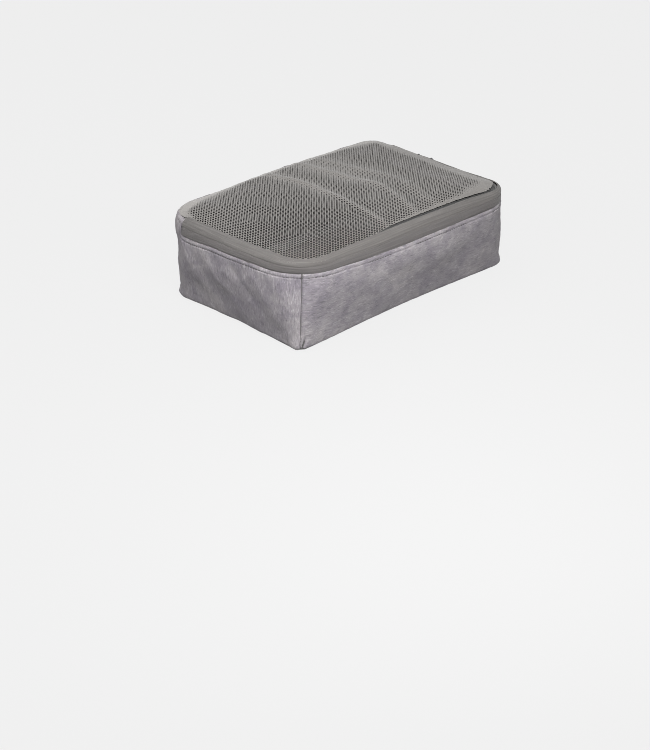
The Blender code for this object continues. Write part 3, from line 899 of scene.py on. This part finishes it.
# Turn, then how much painted sheen pales the border there, where the net lies double
BORDER_PAINTED_SHEEN = ((0.0, 0.0), (1.8, 0.0), (2.05, 1.0), (2.9, 1.0), (3.05, 0.8), (3.2, 0.0), (4.0, 0.0))
OUTLINE_POINTS = 400
# How far in from the rim its sag, its recess and the puckers at it reach
SAG_REACH, EDGE_REACH = 45 * MM, 9 * MM


def at_turn(table, turn):
    knots, values = np.array(table).T
    return np.interp(np.mod(turn, 4), knots, values)


def distance_inside(x, y, outline):
    """How far each point is inside the outline, and the nearest point of the outline."""
    closed = np.concatenate([outline, outline[:1]])[:, :2]
    distance, nearest = nearest_on_line(x, y, closed)
    inside = np.zeros(x.shape, bool)
    for (ax, ay), (bx, by) in zip(closed[:-1], closed[1:]):
        if ay != by:
            crosses = (ay > y) != (by > y)
            inside ^= crosses & (x < (bx - ax) * (y - ay) / (by - ay) + ax)
    return np.where(inside, distance, -distance), nearest


def fold_distance(x, y, points):
    """Distance across the lid from a fold through these points, given as (y, x) in millimetres."""
    along, across = np.array(points, float).T * MM
    smooth = np.linspace(along[0], along[-1], 60)
    line = np.pad(np.interp(smooth, along, across), 5, mode="edge")
    line = np.convolve(line, np.ones(11) / 11, mode="valid")
    return x - np.interp(y, smooth, line)


def lid_height(x, y, depth, recess):
    """Height of the mesh over the rim: a shallow pillow with folds where the packing presses up."""
    right = np.clip((x / RIM_HALF[0] - 0.45) / 0.55, 0, 1)
    back = np.clip((y / RIM_HALF[1] - 0.2) / 0.8, 0, 1)
    steep = (6 + 8 * (1 - back) + 6 * right) * MM
    rise = (2.6 + 1.3 * back - 1.0 * right) * MM * (1 - fade(depth, steep))
    rise = rise + 2.4 * MM * (1 - fade(depth, 26 * MM))
    soft = 1 - fade(depth, 7 * MM)
    for width, height, points in FOLDS:
        distance = fold_distance(x, y, points)
        rise = rise + soft * height * (bump(distance, width) - 0.45 * bump(distance, 3.2 * width))
    rise = rise + soft * 0.28 * MM * waves(x, y, 34 * MM, 71)
    pucker = 0.3 * MM * waves(x, y, 11 * MM, 73) * soft
    return rise + (pucker - recess) * fade(depth, EDGE_REACH)


def hole_scale(x, y, depth, border):
    """How open the net is: shut in its border, tighter along its folds, stretched near the front corner."""
    open_share = smooth_step((depth - border) / (1.2 * MM + 0.8 * border) + 0.5)
    stretch = bump(np.hypot(x + 0.085, y + 0.050), 75 * MM)
    open_share = open_share * (0.89 + 0.30 * stretch)
    slack = smooth_step(y / (70 * MM) + 0.5)
    for width, height, points in FOLDS:
        distance = fold_distance(x, y, points)
        crease = 0.24 * height / MM * bump(distance, 0.7 * width)
        gathered = 0.30 * slack * height / MM * bump(distance, 2.6 * width)
        open_share = open_share * (1 - np.clip(crease + gathered, 0, 0.6))
    return open_share


def value_near(x, y, outline, values):
    """The value that goes with the point of the outline nearest each of these."""
    bearing = np.arctan2(outline[:, 1], outline[:, 0])
    order = np.argsort(bearing)
    return np.interp(np.arctan2(y, x), bearing[order], values[order], period=TAU)


def spread_inwards(x, y, outline, values):
    """The outline's values carried smoothly over the lid, each weighed by how near it is."""
    spread = np.empty(len(x))
    batch = 4000
    for start in range(0, len(x), batch):
        part = slice(start, start + batch)
        squared = (x[part, None] - outline[None, :, 0]) ** 2 + (y[part, None] - outline[None, :, 1]) ** 2
        weight = (squared + (0.1 * MM) ** 2) ** -1.5
        spread[part] = (weight * values).sum(axis=1) / weight.sum(axis=1)
    return spread


def make_mesh():
    """The net: a ring of faces from each hole out to the cell that it shares with its neighbours."""
    turns = np.linspace(0, 4, OUTLINE_POINTS, endpoint=False)
    outline = case_point(turns, RIM, at_turn(SET_IN, turns))
    borders = at_turn(BORDER, turns)
    reach = int(math.hypot(*RIM_HALF) / LANE_PITCH) + 3
    lane, step = np.meshgrid(np.arange(-reach, reach + 1), np.arange(-reach, reach + 1), indexing="ij")
    units = np.stack([6 * lane, 4 * step + 2 * (lane % 2)], axis=-1).reshape(-1, 2)
    unit_size = np.array([LANE_PITCH / 6, HOLE_PITCH / 4])
    heading = np.array([math.cos(LANE_HEADING), math.sin(LANE_HEADING)])
    across = np.array([heading[1], -heading[0]])
    turned = np.array([across, heading])
    centres = units * unit_size @ turned
    depth, _ = distance_inside(*centres.T, outline[::4])
    border = value_near(*centres.T, outline, borders)
    keep = depth > -0.3 * HOLE_PITCH
    units, centres, depth, border = units[keep], centres[keep], depth[keep], border[keep]
    half_cell = np.array([(4, 0), (3, 1), (2, 2), (0, 2), (-2, 2), (-3, 1)])
    cell = np.concatenate([half_cell, -half_cell])
    sides = len(cell)
    angles = np.arctan2(cell[:, 1] * HOLE_HALF[0], cell[:, 0] * HOLE_HALF[1])
    hole = np.stack([np.cos(angles), np.sin(angles)], axis=-1) * HOLE_HALF @ turned
    keys = (units[:, None] + cell[None]).reshape(-1, 2)
    keys, shared = np.unique(keys, axis=0, return_inverse=True)
    knots = keys * unit_size @ turned
    opened = hole_scale(*centres.T, depth, border)
    rims = (centres[:, None] + hole[None] * opened[:, None, None]).reshape(-1, 2)
    flat = np.concatenate([knots, rims])
    random = np.random.default_rng(5)
    flat = flat + random.normal(0, YARN_SCATTER, flat.shape)
    is_rim = np.arange(len(flat)) >= len(knots)
    depth, nearest = distance_inside(*flat.T, outline)
    flat[depth < 0] = nearest[depth < 0]
    depth = np.clip(depth, 0, None)
    rim_change = spread_inwards(*flat.T, outline, outline[:, 2] - RIM)
    recess = spread_inwards(*flat.T, outline, at_turn(RECESS, turns))
    height = RIM + rim_change * fade(depth, SAG_REACH) + lid_height(*flat.T, depth, recess)
    height = height - np.where(is_rim, YARN_DROOP, 0.0)
    corners = shared.reshape(-1, sides)
    inner = len(knots) + np.arange(len(centres) * sides).reshape(-1, sides)
    faces = np.stack([corners, np.roll(corners, -1, 1), np.roll(inner, -1, 1), inner], axis=-1)
    vertices = np.concatenate([flat, height[:, None]], axis=1)
    # Painted sheen: paler yarn in the border at the back, where the net lies double and faces grazing
    # light.
    doubled_border_sheen = smooth_step((value_near(*nearest.T, outline, borders) - depth) / (5 * MM) + 0.5)
    doubled_border_sheen = doubled_border_sheen * value_near(*nearest.T, outline, at_turn(BORDER_PAINTED_SHEEN, turns))
    places = np.concatenate([flat, PLAIN_YARN + doubled_border_sheen[:, None]], axis=1)
    mesh = new_object("mesh_window", vertices, faces.reshape(-1, 4).tolist(), [YARN], place=places)
    with edited(mesh.data) as shape:
        bmesh.ops.remove_doubles(shape, verts=shape.verts, dist=MERGE_DISTANCE)
        slivers = [face for face in shape.faces if face.calc_area() < SLIVER_AREA]
        bmesh.ops.delete(shape, geom=slivers, context="FACES")
        shape.normal_update()
        bmesh.ops.reverse_faces(shape, faces=[face for face in shape.faces if face.normal.z < 0])
    dress(mesh, HINGED, ["mesh_panel"])


def make_mesh_edges():
    """The hem under the edge of the net, and in front of it a near-black strip of painted shadow in the
    channel.
    """
    turns = np.linspace(0, 4, 520, endpoint=False)
    beside_sliders = smooth_step((turns - 1.02) / 0.1) * smooth_step((1.96 - turns) / 0.1)
    points = case_point(turns, RIM, (1.9 + 3.1 * beside_sliders) * MM)
    points[:, 2] -= (2.0 - 0.5 * beside_sliders) * MM
    away = unit(points * (1, 1, 0))
    slanting = away * 0.6 + (0, 0, 1.0)
    width, thickness = 1.8 * MM, 0.7 * MM
    lay_strip(
        "mesh_hem", points, slanting, width, thickness, BINDING, 8, HINGED, closed=True,
    )
    # A near-black strip, painted as the shadow in the gap in front of the net
    turns = np.linspace(*SHADOW_STRIP_TURNS, 150)
    width = at_turn(SET_IN, turns) + 1.8 * MM
    points = case_point(turns, RIM, 0.8 * MM + width / 2)
    points[:, 2] -= 1.0 * MM + 0.35 * (width - 3.0 * MM)
    upward = np.tile((0, 0, 1.0), (len(turns), 1))
    lay_strip("mesh_channel_painted_shadow", points, upward, width, 0.5 * MM, PAINTED_SHADOW_STRIP, 9, "lid")


# ---- inside, handle and hardware

def bind(name, turns, height, inset, width, thickness, seed, body="case", closed=False):
    """Folded bias tape, in place of the CAD's binding of nearly the same name."""
    points, normals, _ = case_frame(turns, height, inset)
    node = name.replace("_seam", "")
    lay_strip(name, points, normals, width, thickness, BINDING, seed, body, [node], closed)


def make_bindings():
    """Folded bias tape over the seams inside the case."""
    inside = CLOTH_THICKNESS + 1.2 * MM
    ring = np.linspace(0, 4, 400, endpoint=False)
    bind("bottom_seam_binding", ring, 5 * MM, inside, 8 * MM, 1.3 * MM, 21, closed=True)
    heights = np.linspace(9 * MM, 60 * MM, 40)
    for corner, name in enumerate(("front_left", "front_right", "back_right", "back_left"), start=4):
        turns = np.full(len(heights), corner + 0.001)
        bind(name + "_seam_binding", turns, heights, inside, 8 * MM, 1.3 * MM, 22 + corner)
    bind("hinge_seam_binding", np.linspace(2.07, 2.93, 120), RIM - 5.4 * MM, inside, 6 * MM, 1.2 * MM, 31)
    turns = np.linspace(*ZIP_TURNS, 300)
    beside_sliders = smooth_step((turns - 5.02) / 0.1)
    inset = (3.4 + 3.8 * beside_sliders) * MM
    bind("lid_seam_binding", turns, RIM - 2.4 * MM, inset, 3.0 * MM, 1.1 * MM, 32, body="lid")


def rounded_copy(name, node, width, surface, body):
    """The CAD node's own shape with its sharp edges eased."""
    copy = add_object(name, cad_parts[node].data.copy())
    copy.data.materials.clear()
    copy.data.materials.append(surface)
    with edited(copy.data) as shape:
        bmesh.ops.remove_doubles(shape, verts=shape.verts, dist=MERGE_DISTANCE)
        bmesh.ops.dissolve_limit(shape, angle_limit=math.radians(2), verts=shape.verts, edges=shape.edges)
    ease = copy.modifiers.new("ease", "BEVEL")
    ease.width = width
    ease.segments = 3
    ease.limit_method = "ANGLE"
    ease.angle_limit = math.radians(40)
    copy.data.polygons.foreach_set("use_smooth", [True] * len(copy.data.polygons))
    copy.data.set_sharp_from_angle(angle=math.radians(50))
    dress(copy, body, [node])
    return copy


# The slider's height as a share of the CAD's, so that it clears the net
SLIDER_SLIMMING = 0.74


def make_hardware():
    for end in ("rear", "front"):
        node = end + "_slider"
        body = rounded_copy(node + "_body", node, 0.25 * MM, METAL, node)
        for vertex in body.data.vertices:
            vertex.co.z = PARTING + (vertex.co.z - PARTING) * SLIDER_SLIMMING
        node = end + "_pull"
        rounded_copy(node + "_tab", node, 0.2 * MM, METAL, node)
    for end in ("left", "right"):
        rounded_copy(end + "_stop", end + "_zip_stop", 0.3 * MM, COIL, "case")


def make_handle():
    """A webbing strap along the right end, standing off the wall in its middle."""
    low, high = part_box("handle_strap")
    places = np.linspace(low.y, high.y, 120)
    free, lift = 45 * MM, 3.2 * MM
    out = np.where(np.abs(places) < free, lift * np.cos(math.pi * places / (2 * free)) ** 2, 0.0)
    out = BELLY_HALF[0] + 0.8 * MM + out
    points = np.stack([out, places, np.full(len(places), (low.z + high.z) / 2)], axis=-1)
    normals = np.tile((1.0, 0.0, 0.0), (len(places), 1))
    width, thickness = high.z - low.z, 1.4 * MM
    lay_strip(
        "webbing_handle", points, normals, width, thickness, WEBBING, 41, "case",
        ["handle_strap"],
    )


# ---- studio

CARD_MARGIN = 0.07
WORLD_STRENGTH = 0.54
FLOOR_GLOW = 0.827
FLOOR_TONE = ((0.040,) * 3, (0.042,) * 3)
# Name, place, size and power of each light
LIGHTS = (
    ("key", (-0.26, -0.40, 0.33), 0.22, 2.25),
    ("fill", (-1.0, 0.05, 0.50), 0.6, 2.3),
    ("top", (-0.25, 0.65, 1.4), 1.4, 4.4),
)


def make_sky():
    world = bpy.data.worlds.new("studio")
    world.use_nodes = True
    tree = world.node_tree
    direction = tree.nodes.new("ShaderNodeTexCoord")
    split = tree.nodes.new("ShaderNodeSeparateXYZ")
    tree.links.new(direction.outputs["Generated"], split.inputs[0])
    sky = tree.nodes.new("ShaderNodeValToRGB")
    tree.links.new(split.outputs["Z"], sky.inputs["Fac"])
    for element, position, grey in zip(sky.color_ramp.elements, (0.0, 0.5), (0.30, 1.0)):
        element.position = position
        element.color = (grey, grey, grey, 1.0)
    tree.links.new(sky.outputs[0], tree.nodes["Background"].inputs["Color"])
    tree.nodes["Background"].inputs["Strength"].default_value = WORLD_STRENGTH
    bpy.context.scene.world = world


def flat_square(name, segments, half_length, half_width):
    square = add_object(name, bpy.data.meshes.new(name))
    with edited(square.data) as shape:
        bmesh.ops.create_grid(shape, x_segments=segments, y_segments=segments, size=1.0)
        bmesh.ops.scale(shape, verts=shape.verts, vec=(half_length, half_width, 1.0))
    return square


def make_studio():
    """Soft light from above and from the front, over a pale floor that gives off most of its brightness.

    A black card under and round the cube, unseen itself, darkens the foot of the walls as a table does.
    """
    make_sky()
    floor = flat_square("studio_floor", 8, 9.0, 9.0)
    paper = Nodes("studio_paper", 0.9)
    paper.set(Specular_IOR_Level=0.0, Emission_Color=(1.0, 1.0, 1.0, 1.0), Emission_Strength=FLOOR_GLOW)
    grain = paper.noise((3.0, 3.0, 3.0), whole=True)
    floor.data.materials.append(paper.finish(paper.ramp(grain, *enumerate(FLOOR_TONE))))
    floor.visible_diffuse = False
    card = flat_square("studio_card", 1, BELLY_HALF[0] + CARD_MARGIN, BELLY_HALF[1] + CARD_MARGIN)
    card.data.materials.append(Nodes("studio_black", 1.0).finish((0.0, 0.0, 0.0, 1.0)))
    card.location.z = -0.5 * MM
    card.visible_camera = card.visible_glossy = card.visible_shadow = False
    for name, place, size, power in LIGHTS:
        light = bpy.data.lights.new(name, "AREA")
        light.shape = "SQUARE"
        light.size = size
        light.energy = power
        obj = add_object(name, light)
        obj.location = place
        obj.rotation_euler = Vector(place).to_track_quat("Z", "Y").to_euler()


CAMERA_PLACE = Vector((-0.8091, -0.8244, 0.5179))
CAMERA_HEADING = math.radians(46.31)
CAMERA_PITCH = math.radians(27.99)
CAMERA_ROLL = math.radians(0.63)
CAMERA_LENS = 69.7


def make_camera():
    camera = bpy.data.cameras.new("camera")
    camera.lens = CAMERA_LENS
    camera.sensor_width = 36.0
    camera.clip_start = 0.01
    obj = add_object("camera", camera)
    level, drop = math.cos(CAMERA_PITCH), math.sin(CAMERA_PITCH)
    ahead = Vector((math.cos(CAMERA_HEADING) * level, math.sin(CAMERA_HEADING) * level, -drop))
    level = ahead.cross(Vector((0, 0, 1))).normalized()
    upright = level.cross(ahead)
    right = level * math.cos(CAMERA_ROLL) - upright * math.sin(CAMERA_ROLL)
    up = level * math.sin(CAMERA_ROLL) + upright * math.cos(CAMERA_ROLL)
    obj.matrix_world = Matrix.Translation(CAMERA_PLACE) @ Matrix((right, up, -ahead)).transposed().to_4x4()
    scene = bpy.context.scene
    scene.camera = obj
    scene.view_settings.view_transform = "Standard"
    scene.cycles.filter_width = 0.95


make_camera()
make_studio()
make_walls()
make_floor_cloth()
wall_stitches()
make_zip()
make_mesh()
make_mesh_edges()
make_bindings()
make_hardware()
make_handle()
